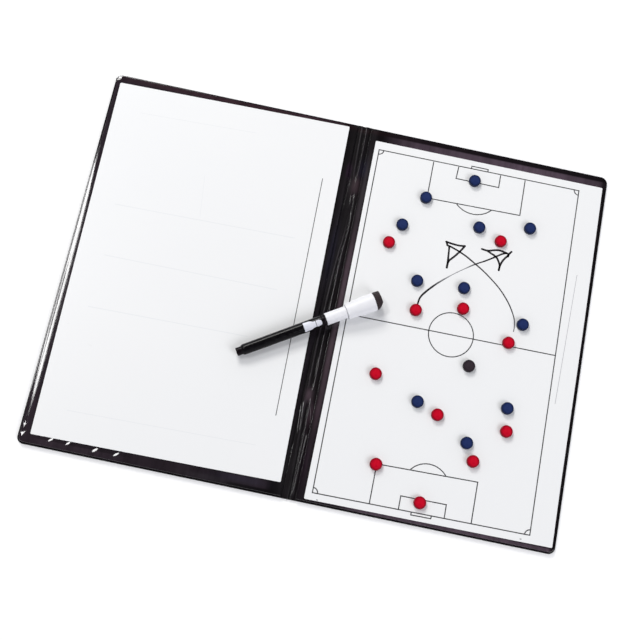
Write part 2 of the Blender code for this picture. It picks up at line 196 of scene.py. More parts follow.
def ink_finish(name, colour, patch, fade=None):
    """Printed or drawn ink, a little uneven. With fade, the mesh's own ink attribute thins it out."""
    made = Finish(name, colour, 0.45)
    made.set("Specular IOR Level", 0.2)
    speck = made.noise(1900.0, 3.0, 0.7)
    lighter = tuple(c + (0.8 - c) * patch for c in colour)
    tone = made.mix(made.range(speck, 0.4, 0.75), colour, lighter)
    if fade is not None:
        tone = made.mix(made.attribute("ink", "Fac"), fade, tone)
    made.set("Base Color", tone)
    made.set("Roughness", made.range(speck, 0.3, 0.7, 0.36, 0.55))
    return made.material


def moulded_finish(name, colour, roughness, light, specular=0.4):
    """Moulded plastic with a fine spark-eroded grain, slightly mottled, paler where handled."""
    made = Finish(name, colour, roughness)
    made.set("Specular IOR Level", specular)
    mottle = made.noise(245.0, 3.0, 0.6)
    worn = tuple(min(c * light + 0.002, 1.0) for c in colour)
    made.paint(made.range(mottle, 0.35, 0.7), colour, worn)
    made.set("Roughness", made.range(mottle, 0.3, 0.7, roughness - 0.05, roughness + 0.07))
    made.bump(made.noise(4200.0, 2.0, 0.5), 0.12, 0.00004)
    return made.material


def magnet_finish(name, colour, rim):
    """Moulded cap of a magnet: satin and mottled, darkened round its polished edge by painted shade."""
    made = Finish(name, colour, 0.38)
    made.set("Specular IOR Level", 0.12)
    plan = made.where((1.0, 1.0, 0.0))
    radius = made.node("ShaderNodeVectorMath", {0: plan}, operation="LENGTH").outputs["Value"]
    mottle = made.noise(260.0, 3.0, 0.6)
    worn = tuple(min(c * 1.35 + 0.003, 1.0) for c in colour)
    middle = made.mix(made.range(mottle, 0.35, 0.7), colour, worn)
    # painted shade: the colour darkens towards the rim
    made.paint(made.range(radius, 0.0028, 0.0046), middle, rim)
    made.set("Roughness", made.range(mottle, 0.3, 0.7, 0.34, 0.46))
    made.bump(made.noise(4200.0, 2.0, 0.5), 0.12, 0.00004)
    return made.material


def felt_finish(name, colour, pale):
    made = Finish(name, colour, 0.95)
    made.set("Sheen Weight", 0.2)
    fibre = made.noise(1500.0, 5.0, 0.75, None, 2.2)
    clump = made.range(made.noise(420.0, 3.0, 0.6), 0.25, 0.7, 0.4, 1.0)
    share = made.maths("MULTIPLY", made.range(fibre, 0.35, 0.75), clump)
    made.paint(share, colour, pale)
    made.bump(fibre, 0.9, 0.0005)
    return made.material


def board_finish(name):
    made = Finish(name, (0.30, 0.28, 0.25), 0.9)
    flock = made.noise(900.0, 4.0, 0.7)
    grey, pale = (0.24, 0.22, 0.19), (0.36, 0.33, 0.30)
    made.paint(made.range(flock, 0.35, 0.7), grey, pale)
    made.bump(flock, 0.3, 0.0002)
    return made.material


def steel_finish(name):
    made = Finish(name, (0.55, 0.56, 0.57), 0.35)
    made.set("Metallic", 1.0)
    brushed = made.noise(900.0, 3.0, 0.6, (0.03, 1.0, 1.0))
    dark, bright = (0.48, 0.49, 0.50), (0.60, 0.61, 0.62)
    made.paint(made.range(brushed, 0.3, 0.7), dark, bright)
    made.set("Roughness", made.range(brushed, 0.3, 0.7, 0.28, 0.42))
    return made.material


# Meshes

def add_object(name, data):
    made = bpy.data.objects.new(name, data)
    bpy.context.scene.collection.objects.link(made)
    return made


def finish_mesh(bm, name, material, sharp=38.0):
    bmesh.ops.recalc_face_normals(bm, faces=bm.faces)
    mesh = bpy.data.meshes.new(name)
    bm.to_mesh(mesh)
    bm.free()
    mesh.polygons.foreach_set("use_smooth", [True] * len(mesh.polygons))
    mesh.set_sharp_from_angle(angle=math.radians(sharp))
    mesh.materials.append(material)
    return add_object(name, mesh)


def bridge(bm, near, far, closed=True):
    """Faces between two rows of vertices, one of which may be a single point."""
    count = max(len(near), len(far))
    for i in range(count if closed else count - 1):
        j = (i + 1) % count
        if len(near) == 1:
            bm.faces.new((near[0], far[i], far[j]))
        elif len(far) == 1:
            bm.faces.new((near[i], near[j], far[0]))
        else:
            bm.faces.new((near[i], near[j], far[j], far[i]))


def give(mesh, name, kind, field, values):
    """An attribute of every vertex, for the material to read."""
    made = mesh.attributes.new(name, kind, "POINT")
    made.data.foreach_set(field, np.asarray(values, np.float32).ravel())


def stations(*runs):
    """Places along a line, from runs of (start, end, step)."""
    places = []
    for start, end, step in runs:
        count = max(1, round(abs(end - start) / step))
        places += [start + (end - start) * i / count for i in range(count)]
    return places + [runs[-1][1]]


def bell(x, middle, width):
    return np.exp(-(((x - middle) / width) ** 2))


def ease(x, low, high):
    """0 below low, 1 above high."""
    t = np.clip((x - low) / (high - low), 0.0, 1.0)
    return t * t * (3.0 - 2.0 * t)


def fall(x, low, high):
    return 1.0 - ease(x, low, high)


def unit(run):
    return run / np.linalg.norm(run)


def curve(start, corner, end, steps):
    """Places along the curve that rounds a corner."""
    shares = [k / steps for k in range(steps + 1)]
    return [(1 - t) ** 2 * start + 2 * t * (1 - t) * corner + t * t * end for t in shares]


def cut_corners(points, times=3):
    """Chaikin's rounding of an open line of control points."""
    points = np.array(points, float)
    for _ in range(times):
        near, far = points[:-1], points[1:]
        inner = np.stack((0.75 * near + 0.25 * far, 0.25 * near + 0.75 * far), 1).reshape(-1, 2)
        points = np.vstack((points[:1], inner[1:-1], points[-1:]))
    return points


def wander(places, seed, length):
    """Smooth noise of about -1 to 1 along a line."""
    return np.array([noise.noise(Vector((p / length, seed * 7.31, 1.7))) for p in places]) * 1.6


def blotches(x, y, across, along, seed):
    """Smooth noise over the plan, with spots of this size across and along the spine."""
    return np.array([noise.noise(Vector((a / across, b / along, seed))) for a, b in zip(x, y)])


class Half:
    """One half of the folder's vinyl in plan, from its outer edge to the middle of the spine."""

    def __init__(self, side):
        self.side = side
        self.outer = LEFT_X if side < 0 else RIGHT_X
        self.crease = SPINE_X + side * CREASE_REACH - SHIFT[0]
        self.index = {}
        self.places = []
        self.faces = []
        self.lay_out()
        self.x = np.array([p[0] for p in self.places]) - SHIFT[0]
        self.y = np.array([p[1] for p in self.places]) - SHIFT[1]
        self.inset = np.array([p[2] for p in self.places])

    def point(self, u, y, inset):
        key = (round(u, 4), round(y, 4))
        if key not in self.index:
            self.index[key] = len(self.places)
            self.places.append((self.outer - self.side * u, y, inset))
        return self.index[key]

    def quad(self, *corners):
        found = []
        for corner in corners:
            spot = self.point(*corner)
            if spot not in found:
                found.append(spot)
        if len(found) > 2:
            self.faces.append(found)

    def lay_out(self):
        width = abs(self.outer - SPINE_X)
        straight = HALF_HEIGHT - CORNER
        # runs of (start, end, step) inwards from the edge, finest where the film bends
        depths = stations((CORNER, 1.9, 0.18), (1.9, 0.8, 0.1), (0.8, 0.0, 0.4))
        columns = stations(
            (CORNER, 12.0, 0.65), (12.0, width - 14.0, 2.4), (width - 14.0, width - 7.0, 0.5),
            (width - 7.0, width - 5.4, 0.1), (width - 5.4, width, 0.18),
        )
        for facet in FACETS[:BOTTOM_FACETS] if self.side < 0 else ():
            middle = facet[0] + SHIFT[0] - self.outer
            columns = [u for u in columns if abs(u - middle) > FACET_REACH + 0.1]
            columns += stations((middle - FACET_REACH, middle + FACET_REACH, 0.55))
        columns.sort()
        rows = stations(
            (-straight, 6.0 - straight, 0.4), (6.0 - straight, straight - 6.0, 1.4),
            (straight - 6.0, straight, 0.8),
        )

        def strip(us, ys):
            for u0, u1 in zip(us, us[1:]):
                for y0, y1 in zip(ys, ys[1:]):
                    square = ((u0, y0), (u1, y0), (u1, y1), (u0, y1))
                    self.quad(*((u, y, min(u, HALF_HEIGHT - abs(y))) for u, y in square))

        strip(columns, rows)
        strip(depths[::-1], rows)
        for end in (-1, 1):
            strip(columns, [end * (HALF_HEIGHT - depth) for depth in depths])
            turns = [math.pi / 2 * i / 10 for i in range(11)]
            for d0, d1 in zip(depths, depths[1:]):
                for a0, a1 in zip(turns, turns[1:]):
                    ring = []
                    for depth, angle in ((d0, a0), (d1, a0), (d1, a1), (d0, a1)):
                        radius = CORNER - depth
                        u = CORNER - radius * math.cos(angle)
                        ring.append((u, end * (straight + radius * math.sin(angle)), depth))
                    self.quad(*ring)

    def build(self, name, top, bottom, material, tint, flexed):
        """A closed skin between two heights. All values are given for every place in the plan."""
        bm = bmesh.new()
        upper, lower = (
            [bm.verts.new((x * mm, y * mm, z * mm)) for (x, y, _), z in zip(self.places, heights)]
            for heights in (top, bottom)
        )
        for face in self.faces:
            bm.faces.new([upper[i] for i in face])
            bm.faces.new([lower[i] for i in reversed(face)])
        rim = [edge for edge in bm.edges if len(edge.link_faces) == 1]
        partner = dict(zip(upper, lower))
        for edge in rim:
            a, b = edge.verts
            if a in partner and b in partner:
                bm.faces.new((a, b, partner[b], partner[a]))
        piece = finish_mesh(bm, name, material, 32.0)
        mesh = piece.data
        places = np.zeros(len(mesh.vertices) * 3, np.float32)
        mesh.vertices.foreach_get("co", places)
        give(mesh, "rest", "FLOAT_VECTOR", "vector", places)
        opaque = np.column_stack((tint, np.ones(len(tint))))
        give(mesh, "tint", "FLOAT_COLOR", "color", np.tile(opaque, (2, 1)))
        give(mesh, "flexed", "FLOAT", "value", np.tile(flexed, 2))
        return piece


# How the top of the vinyl comes up from the welded rim, and from the crease beside the spine
EDGE_RISE = cut_corners([(-1.0, 1.02), (0.8, 1.05), (1.0, 1.15), (1.45, 2.9), (1.75, 4.6), (60.0, 9.0)])
CREASE_RISE = cut_corners([(-9.0, 1.1), (1.2, 1.1), (1.35, 1.2), (1.55, 3.1), (1.75, 4.6), (60.0, 9.0)])

# Small facets that creases leave in the film: middle, half length, half width, direction in degrees,
# and how steeply each rises along X and along Y. The first ones lie along the bottom, on closer
# columns.
BOTTOM_FACETS = 4
FACET_REACH = 4.5
FACETS = (
    (-182.3, -148.5, 3.6, 1.7, 31, 0.099, -0.113),
    (-169, -148.5, 3.4, 1.7, 31, 0.110, -0.113),
    (-148.1, -149.3, 4.3, 2, 29, 0.128, -0.112),
    (-131.7, -149.2, 4.3, 1.8, 27, 0.142, -0.112),
    (-204.3, -147.8, 3.4, 1.5, 84, 0.080, -0.113),
    (-204.6, -141, 4.4, 1.1, 89, 0.080, -0.107),
    (-204.6, 153.5, 3.6, 1.4, 23, 0.101, 0.146),
)

# The deep fold in the spine: where its middle runs, its half width, and how far it is open (0 to 1)
FOLD_Y = (
    -156, -140, -115, -104, -80, -76, -70, -66, -20, 10, 32,
    46, 60, 66, 80, 94, 99, 108, 112, 125, 156,
)
FOLD_X = (
    2.9, 2.9, 2.8, 2.6, 2.2, 2.1, 2.3, 2.3, 2.1, 2.4, 2.8,
    3.5, 4.6, 4.9, 5.0, 4.4, 3.6, 3.0, 2.8, 2.6, 2.1,
)
FOLD_HALF = (
    0.7, 0.8, 0.9, 1.1, 1.3, 1.3, 1.3, 1.4, 1.3, 1.1, 0.75,
    0.5, 0.4, 0.4, 0.4, 0.4, 0.4, 0.4, 0.7, 1.2, 1.3,
)
FOLD_OPEN = (0.7, 0.7, 0.75, 0.9, 1, 0, 0, 1, 1, 1, 1, 1, 1, 0.7, 0.4, 0.3, 0, 0, 1, 1, 1)

# Lesser creases in the spine: the places that each runs through, its half width and its rise
CREASES = (
    (((-2.4, 110), (-2.7, 101), (-3.3, 92), (-3.7, 80), (-3.9, 66)), 0.42, 0.34),
    (((-1.2, 110), (-1.5, 101), (-2, 92), (-2.3, 82)), 0.5, -0.22),
    (((2.3, 97), (2.7, 91), (3.1, 86)), 0.35, 0.25),
    (((4.2, 90), (4.9, 84), (5.2, 76)), 0.4, 0.25),
    (((10.8, 126), (11.1, 112), (11.5, 96), (11.5, 80)), 0.5, 0.10),
    (((-0.6, -79), (-0.2, -88), (0.9, -101)), 0.4, 0.3),
    (((-2.3, -82), (-1.6, -92), (-0.6, -105)), 0.4, 0.2),
    (((4.8, -79), (6.4, -87), (8.3, -100), (9.1, -107)), 0.4, 0.36),
    (((6.4, -79), (8, -90), (9.9, -98)), 0.45, 0.24),
    (((6.9, -104), (6.2, -124), (5.2, -152)), 0.45, 0.42),
    (((8.7, -116), (8.3, -142), (8, -154)), 0.5, 0.28),
    (((-1.8, -112), (-2.2, -130), (-2.5, -154)), 0.5, 0.2),
)

# Clouded places in the film, and painted reflections beside the right sheet: middle x, middle y, half
# sizes, and the linear colour that each adds
CLOUDS_AND_PAINTED_SHEEN = (
    # The first four, along the right cover's inner shoulder, are painted reflections of the light.
    (11.4, -6, 1.8, 76, (0.053, 0.035, 0.044)),
    (11.4, 36, 1.8, 14, (0.010, 0.006, 0.008)),
    (11.4, 100, 1.8, 30, (0.009, 0.010, 0.010)),
    (11.2, -88, 1.6, 10, (0.012, 0.006, 0.009)),
    (-100, 152.8, 92, 1.8, (0.015, 0.004, 0.005)),
    (-3.4, 44, 2.4, 22, (0.0035, 0.0035, 0.0100)),
    (-3.3, 115, 2, 6, (0.010, 0.002, 0.011)),
    (7.6, 119, 2.6, 7, (0.003, 0.003, 0.011)),
    (4.4, 103.7, 2.9, 6.2, (0.036, 0.022, 0.027)),
    (2, -74, 2.4, 4.6, (0.050, 0.033, 0.042)),
    (6.2, -89, 1.6, 9, (0.014, 0.006, 0.010)),
    (-4.5, -40, 2, 36, (0.0020, 0.0008, 0.0030)),
    (9.5, -128, 3, 18, (0.003, 0.000, 0.003)),
    (-36, -148, 17, 2.4, (0.008, 0.008, 0.014)),
    (-60, -152, 16, 1.8, (0.008, 0.008, 0.009)),
)

# The two puckers over the spine: middle x, middle y and half sizes
PUCKERS = ((4.2, 103.7, 2.5, 5.6), (2.0, -73.8, 2.3, 4.8))

# The film's crown down the left edge: place along Y, how far in its middle lies, and its width
LEFT_CROWN = np.array((
    (-160, 2.4, 1.0), (-128, 4.4, 0.9), (-110, 3.95, 2.0), (-90, 3.75, 2.4), (-60, 3.15, 3.15),
    (-20, 3.25, 3.2), (20, 3.1, 2.6), (50, 2.7, 2.1), (75, 2.1, 1.2), (95, 2.0, 1.0), (160, 2.0, 1.0),
))
CROWN_BEND = 0.045
CROWN_SLOPE = 0.0875

# The radius that softens the meeting of two surfaces
SOFT = 0.09


def box_bell(x, middle, half):
    """1 inside middle ± half, with soft ends."""
    return 1 / (1 + (np.abs(x - middle) / half) ** 4)


def crown(x, y, inset, side):
    """The film's slight crown inside its edge. Down the left it has a crease along its middle."""
    left = ease(-x, 190, 200) if side < 0 else 0 * x
    middle, width = (
        plain + (np.interp(y, LEFT_CROWN[:, 0], LEFT_CROWN[:, column]) - plain) * left
        for column, plain in ((1, 2), (2, 1))
    )
    bend = CROWN_BEND / width
    reach = middle + CROWN_SLOPE / bend
    height = FACE_Z - bend / 2 * np.maximum(reach - inset, 0) ** 2
    dashes = 0.6 + 0.4 * np.sin(y * 1.9) * np.sin(y * 0.37 + 1)
    height -= 0.055 * left * bell(x, -205.5, 0.36) * box_bell(y, -45, 33) * dashes
    return height


def soft_min(a, b):
    return -SOFT * np.logaddexp(-a / SOFT, -b / SOFT)


def along_fold(y, values):
    """A value of the fold at these places along the spine, eased from one place to the next."""
    line = cut_corners(list(zip(FOLD_Y, values)), 2)
    return np.interp(y, line[:, 0], line[:, 1])


def over_gutter(x):
    """1 over the strip between the two sheets, 0 further out."""
    return fall(-x, 5, 13) * fall(x, 11.5, 18)


def crease_rise(x, y):
    """How far the lesser creases lift the film over the spine."""
    total = 0 * x
    for path, width, rise in CREASES:
        xs, ys = zip(*path[::-1])
        line = np.interp(y, ys, xs)
        ends = ease(y, ys[0] - 2, ys[0] + 3) * fall(y, ys[-1] - 3, ys[-1] + 2)
        total += rise * bell(x, line, width) * ends
    return total


def fold_shape(x, y):
    """The deep fold at these places: inside it, on its left and on its right ridge, each 0 to 1."""
    half = along_fold(y, FOLD_HALF)
    opened = along_fold(y, FOLD_OPEN)
    off = x - along_fold(y, FOLD_X) - 0.03 * wander(y, 1, 23)
    inside = 1 / (1 + np.exp(-(off + half) / 0.07)) / (1 + np.exp((off - half) / 0.07))
    left, right = bell(off, -half - 0.66, 0.55), bell(off, half + 0.76, 0.60)
    return inside * opened, left * opened, right * opened


def liner(x, y):
    """Top of the vinyl over the spine: one deep fold between two ridges, buckled in two places."""
    half = along_fold(y, FOLD_HALF)
    off = x - along_fold(y, FOLD_X)
    inside, left, right = fold_shape(x, y)
    height = 1.12 + 0.12 * bell(off, -half - 1.9, 1.6) + 0.20 * bell(off, half + 2.2, 1.9)
    height += (1 + 0.12 * wander(y, 2, 31)) * (0.17 * left + 0.22 * right)
    height += (0.74 - height) * inside
    for mx, my, rx, ry in PUCKERS:
        height += 0.34 * bell(x, mx, rx) * bell(y, my, ry)
    height += 0.6 * crease_rise(x, y)
    return np.maximum(height, 0.72)


def gutter_tint_and_painted_light(x, y):
    """Painted highlight lines along the ridges and creases, fine strands between them, painted shade in
    the fold.
    """
    inside, left, right = fold_shape(x, y)
    strands = blotches(x, y, 0.9, 30, 4.1)
    patches = blotches(x, y, 5, 14, 8.6)
    tone = 0.0045 * (1 + 1.1 * strands + 0.7 * patches) * (1 - 0.7 * bell(x, 7.4, 2.2))
    tone *= 1 - 0.7 * ease(y, 110, 124)
    # painted highlights along the ridges and creases
    lines = 0.015 * left + 0.014 * right + 0.040 * np.clip(crease_rise(x, y), -0.2, 0.4)
    tone += lines * (1 - 0.5 * ease(-y, 78, 100) - 0.35 * box_bell(y, 80, 14))
    # a painted highlight along the crease beside the right sheet
    tone += 0.004 * bell(x, 11.4, 0.6) * ease(y, 95, 100) * fall(y, 128, 140)
    # painted shade: the fold is made black
    return np.clip(tone, 0, 0.05) * (1 - 0.95 * inside) * over_gutter(x)


def film_tint(half):
    """The linear colour added to the black film at every place: clouding, and painted reflections and
    shade.
    """
    x, y = half.x, half.y
    base = 0.0145 * ease(half.side * x, 12, 17) * (1 + 0.25 * wander(x + 0.7 * y, 5, 26))
    if half.side > 0:
        # the broad band above the pitch sheet, lit up as a painted reflection of the light,
        # the rim below it, and the black right edge
        shade = 0.012 + 0.044 * ease(x, 14, 58) + 0.022 * bell(x, 145, 50)
        shade = 0.004 + fall(y, 150.6, 151.9) * shade
        shade *= ease(x, 16, 30) * (1 - 0.35 * ease(x, 165, 195))
        band = ease(y, 144, 146)
        base = base * (1 - band) + band * shade
        base += 0.052 * fall(y, -152.5, -151) * ease(x, 34, 64)
        base *= 1 - 0.8 * ease(x, 203, 206)
    else:
        # the rim below the writing sheet, black near the spine, and the left edge
        base *= 1 - 0.85 * fall(y, -152.4, -151.2) * ease(x, -52, -38)
        base *= 1 + 0.35 * fall(x, -195, -170)
        base += 0.012 * fall(y, -150.2, -149.2) * ease(-x, 110, 150) * fall(-x, 188, 200)
    tint = np.outer(base, (1, 0.70, 0.95)) + np.outer(gutter_tint_and_painted_light(x, y), (1, 0.84, 1))
    for mx, my, rx, ry, colour in CLOUDS_AND_PAINTED_SHEEN:
        tint += np.outer(box_bell(x, mx, rx) * box_bell(y, my, ry), colour)
    return tint * ease(half.inset, 0.7, 1.9)[:, None]


def inner_skin(side, name):
    half = Half(side)
    x, y = half.x, half.y
    from_crease = (x - half.crease) * side
    shoulder = np.interp(from_crease, CREASE_RISE[:, 0], CREASE_RISE[:, 1])
    edge = np.interp(half.inset, EDGE_RISE[:, 0], EDGE_RISE[:, 1])
    in_spine = fall(from_crease, 0.2, 1.3)
    top = soft_min(shoulder, crown(x, y, half.inset, side))
    top = top * (1 - in_spine) + liner(x, y) * in_spine
    top = soft_min(top, edge + 4 * in_spine)
    for mx, my, length, width, turn, rise_x, rise_y in FACETS:
        if side * mx < 0:
            continue
        c, s = math.cos(math.radians(turn)), math.sin(math.radians(turn))
        along = (x - mx) * c + (y - my) * s
        across = (y - my) * c - (x - mx) * s
        here = top[np.argmin((x - mx) ** 2 + (y - my) ** 2)]
        share = np.exp(-(((along / length) ** 2 + (across / width) ** 2) ** 2))
        top = top + share * (here + rise_x * (x - mx) + rise_y * (y - my) - top)
    thin = THIN_FILM + (FILM - THIN_FILM) * fall(half.inset, 0.9, 1.4)
    thin = np.maximum(thin, THIN_FILM + SPINE_FILM * in_spine)
    film = vinyl_finish(f"{name}_inner_film")
    tint, flexed = film_tint(half), over_gutter(x)
    return half, half.build(f"{name}_inner_skin", top, top - thin, film, tint, flexed)


def outer_skin(half, name):
    swell = np.clip(blotches(half.x, half.y, 31, 47, 3.3), -1, 1)
    top = np.full(len(swell), FILM)
    tint = np.outer(0.006 + 0.004 * swell, (1, 0.76, 1))
    film = vinyl_finish(f"{name}_outer_film")
    return half.build(f"{name}_outer_skin", top, 0.05 + 0.05 * swell, film, tint, 0 * top)


def hang_on_spine(piece, side):
    """Bakes the skin's place into its mesh."""
    if side < 0:
        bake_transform(piece)
    else:
        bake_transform(piece)


def build_vinyl():
    for side, name in ((-1, "left"), (1, "right")):
        half, inner = inner_skin(side, name)
        outer = outer_skin(half, name)
        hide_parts(f"{name}_inner_vinyl", "spine_inner_vinyl")
        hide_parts(f"{name}_outer_vinyl", "spine_outer_vinyl")
        hang_on_spine(inner, side)
        hang_on_spine(outer, side)


# The sheets: body, turn in degrees, and the outline about the sheet's middle as the photograph shows it
SHEETS = {
    "writing_sheet": (
        "left_cover", 0.9,
        [(-96, -148.6), (97, -148.6), (97, 148.5), (0.5, 148.1), (-96, 147.5)],
    ),
    "pitch_sheet": (
        "right_cover", 0.3,
        [
            (-95.85, -149.15), (0, -148.8), (96.25, -148.3), (96.2, -100), (96.5, -60), (97, 10),
            (97.1, 50), (96.9, 148.6), (0, 148.8), (-95.1, 148.9), (-94.95, 80), (-95.15, 20),
            (-95.35, -60), (-95.7, -120),
        ],
    ),
}

# The bevel round a card's cut edge, and the angle in radians from which its outline counts as straight
CARD_BEVEL = 0.1
STRAIGHT = 2.5


def build_sheets():
    """The dry-wipe sheets: thin laminated card with rounded corners and a fine bevel."""
    film = sheet_finish("dry_wipe_film")
    for node, (body, turn, corners) in SHEETS.items():
        low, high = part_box(node)
        corners = [Vector(corner) for corner in corners]
        outline = []
        for i, here in enumerate(corners):
            before, after = corners[i - 1], corners[(i + 1) % len(corners)]
            back, on = (before - here).normalized(), (after - here).normalized()
            straight = back.angle(on) > STRAIGHT
            outline += [here] if straight else curve(here + back, here, here + on, 5)
        bm = bmesh.new()
        rings = []
        for inset, z in ((0.0, low.z), (0.0, high.z - CARD_BEVEL * mm), (CARD_BEVEL, high.z)):
            rings.append([bm.verts.new((*((p - p.normalized() * inset) * mm), z)) for p in outline])
        bm.faces.new(rings[0][::-1])
        bm.faces.new(rings[-1])
        for near, far in zip(rings, rings[1:]):
            bridge(bm, near, far)
        place = Matrix.Translation(((low.x + high.x) / 2, (low.y + high.y) / 2, 0.0))
        place = place @ Matrix.Rotation(math.radians(turn), 4, "Z")
        bmesh.ops.transform(bm, matrix=place, verts=bm.verts)
        piece = finish_mesh(bm, f"{node}_card", film)
        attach(piece, body)
        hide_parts(node)


# Lines on the sheets

# How far ink sinks into the sheet, how far print and pen strokes rise, and a stroke's spacing
INK_SINK = 0.02
PRINT_RISE = 0.03
PEN_RISE = 0.045
PEN_STEP = 1.2


def spread(values, count):
    """One value, or several at even distances, as a value for each of count places."""
    values = np.atleast_1d(values)
    return np.interp(np.linspace(0, 1, count), np.linspace(0, 1, len(values)), values)


class Lines:
    """Thin raised ribbons of ink, gathered into one mesh."""

    def __init__(self, rise=PRINT_RISE):
        self.bm = bmesh.new()
        self.ink = self.bm.verts.layers.float.new("ink")
        self.low, self.high = SHEET_TOP - INK_SINK, SHEET_TOP + rise

    def ribbon(self, points, width, closed=False, ink=1.0):
        points = [np.array(p, float) + SHIFT for p in points]
        runs = [unit(b - a) for a, b in zip(points, points[1:] + points[:1] if closed else points[1:])]
        sides = [np.array((-run[1], run[0])) for run in runs]
        sides = sides[-1:] + sides if closed else sides[:1] + sides + sides[-1:]
        widths, inks = (spread(values, len(points)) for values in (width, ink))
        rows = []
        for here, broad, dark, before, after in zip(points, widths, inks, sides, sides[1:]):
            across = unit(before + after)
            reach = across * broad / 2 / max(0.5, float(across @ before))
            row = []
            for spot, z in (
                (here + reach, self.low), (here - reach, self.low),
                (here - reach, self.high), (here + reach, self.high),
            ):
                vert = self.bm.verts.new((spot[0] * mm, spot[1] * mm, z * mm))
                vert[self.ink] = dark
                row.append(vert)
            rows.append(row)
        for near, far in zip(rows, rows[1:] + rows[:1] if closed else rows[1:]):
            bridge(self.bm, near, far)
        if not closed:
            self.bm.faces.new(rows[0])
            self.bm.faces.new(rows[-1][::-1])

    def stroke(self, points, width, ink):
        """A pen stroke: a smooth line through the points, with round ends."""
        points = list(smooth_line(points))
        widths, inks = (list(spread(values, len(points))) for values in (width, ink))
        ends = [(math.cos(turn), math.sin(turn)) for turn in np.radians((15.0, 40.0, 65.0))]
        for _ in range(2):
            reach = unit(points[0] - points[1]) * widths[0] / 2
            points = [points[0] + reach * c for c, _ in ends] + points
            widths = [widths[0] * s for _, s in ends] + widths
            inks = inks[:1] * len(ends) + inks
            points, widths, inks = points[::-1], widths[::-1], inks[::-1]
        self.ribbon(points, widths, ink=inks)

    def make(self, name, material, body):
        piece = finish_mesh(self.bm, name, material)
        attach(piece, body)


def smooth_line(points):
    """Catmull-Rom through the points, at about the pen's spacing."""
    points = np.array(points, float)
    padded = np.vstack((2 * points[0] - points[1], points, 2 * points[-1] - points[-2]))
    out = []
    for i in range(len(points) - 1):
        p0, p1, p2, p3 = padded[i:i + 4]
        count = max(1, round(float(np.linalg.norm(p2 - p1)) / PEN_STEP))
        for t in (k / count for k in range(count)):
            bend = (2 * p0 - 5 * p1 + 4 * p2 - p3) * t * t + (3 * p1 - p0 - 3 * p2 + p3) * t ** 3
            out.append(0.5 * (2 * p1 + (p2 - p0) * t + bend))
    out.append(points[-1])
    return np.array(out)


def arc(middle, radius, start, end, step=4.0):
    """Places on a circle, with its angles in degrees."""
    count = max(4, round(abs(end - start) / step))
    angles = np.radians(np.linspace(start, end, count + 1))
    return [(middle[0] + radius * math.cos(a), middle[1] + radius * math.sin(a)) for a in angles]


def bow(start, end, peak):
    """The arc from start to end whose middle lies this far to the left of the line between them."""
    a, b = np.array(start, float), np.array(end, float)
    chord = float(np.linalg.norm(b - a))
    run = (b - a) / chord
    left = np.array((-run[1], run[0]))
    radius = (chord ** 2 / 4 + peak ** 2) / (2 * peak)
    middle = (a + b) / 2 - left * (radius - peak)
    half = math.asin(chord / 2 / radius)
    turns = np.linspace(-half, half, 15)
    return [middle + radius * (left * math.cos(t) + run * math.sin(t)) for t in turns]


# The width of the printed pitch's lines
PITCH_LINE = 0.84

# Other print and wiped ink: piece, body, ink, colour, unevenness, and each line's ends and width
PRINT = (
    (
        "right_sheet_rule", "right_cover", "printed_faint", (0.48, 0.48, 0.50), 0.3,
        [(194.9, 67, 192.5, -41.2, 0.45)],
    ),
    (
        "right_sheet_ticks", "right_cover", "printed_grey", (0.30, 0.30, 0.32), 0.2,
        [(23.4, -151.8, 25, -151.8, 0.7), (180.7, -149.1, 182.3, -149.1, 0.7)],
    ),
    (
        "left_sheet_rule", "left_cover", "printed_rule", (0.06, 0.06, 0.065), 0.15,
        [(-23.1, 102.9, -19.8, -95.4, 0.6)],
    ),
    (
        "left_sheet_ghost_lines", "left_cover", "wiped_ink", (0.86, 0.87, 0.88), 0,
        [
            (-181.6, 44.7, -35, 48, 0.7), (-179.3, 1.6, -39.9, 2.9, 0.7),
            (-181, -41.8, -54.3, -39.1, 0.7), (-176.3, -124.3, -30.1, -120.7, 0.5),
            (-180.7, 126, -84.9, 129.8, 0.4), (-117.1, 84, -113.1, 49.7, 0.4),
        ],
    ),
)


def build_print():
    """The pitch's boundary, halfway line, circle, corners and boxes, and the other printed lines."""
    corners = [(17.5, 138.1), (186.3, 139.3), (188, -144.9), (19.6, -147.1)]
    pitch = Lines()
    pitch.ribbon(corners, PITCH_LINE, closed=True)
    pitch.ribbon([(19, -4.7), (186.8, -2.7)], PITCH_LINE)
    pitch.ribbon(arc((102.5, -3.7), 17.95, 0, 360)[:-1], PITCH_LINE, closed=True)
    for corner, start in zip(corners, (-89, 181, 91, 1)):
        pitch.ribbon(arc(corner, 4, start, start + 88, 11), PITCH_LINE)
    for points in (
        [(63.7, 137.7), (63.7, 105.2), (141.2, 107.1), (140.9, 138.3)],
        [(84.8, 137.9), (84.3, 127.3), (120.2, 127.2), (120.2, 138.1)],
        [(95.4, 138.9), (95.4, 140.9), (109.2, 140.9), (109.2, 139.1)],
        bow((88.5, 105.5), (117.4, 106.2), -6.2),
        [(63.6, -146.2), (63.6, -115.8), (142.4, -113.6), (142.5, -145.6)],
        [(86.1, -146), (86.1, -135.8), (121.5, -135.3), (121.6, -145.8)],
        [(96.1, -146.5), (96.1, -148.3), (111.6, -148), (111.6, -146.3)],
        bow((89.8, -114.7), (117.3, -113.9), 6.6),
    ):
        pitch.ribbon(points, PITCH_LINE)
    ink = ink_finish("printed_black", (0.030, 0.030, 0.034), 0.12)
    pitch.make("pitch_lines", ink, "right_cover")
    for name, body, ink, colour, patch, lines in PRINT:
        made = Lines()
        for x0, y0, x1, y1, width in lines:
            made.ribbon([(x0, y0), (x1, y1)], width)
        made.make(name, ink_finish(ink, colour, patch), body)


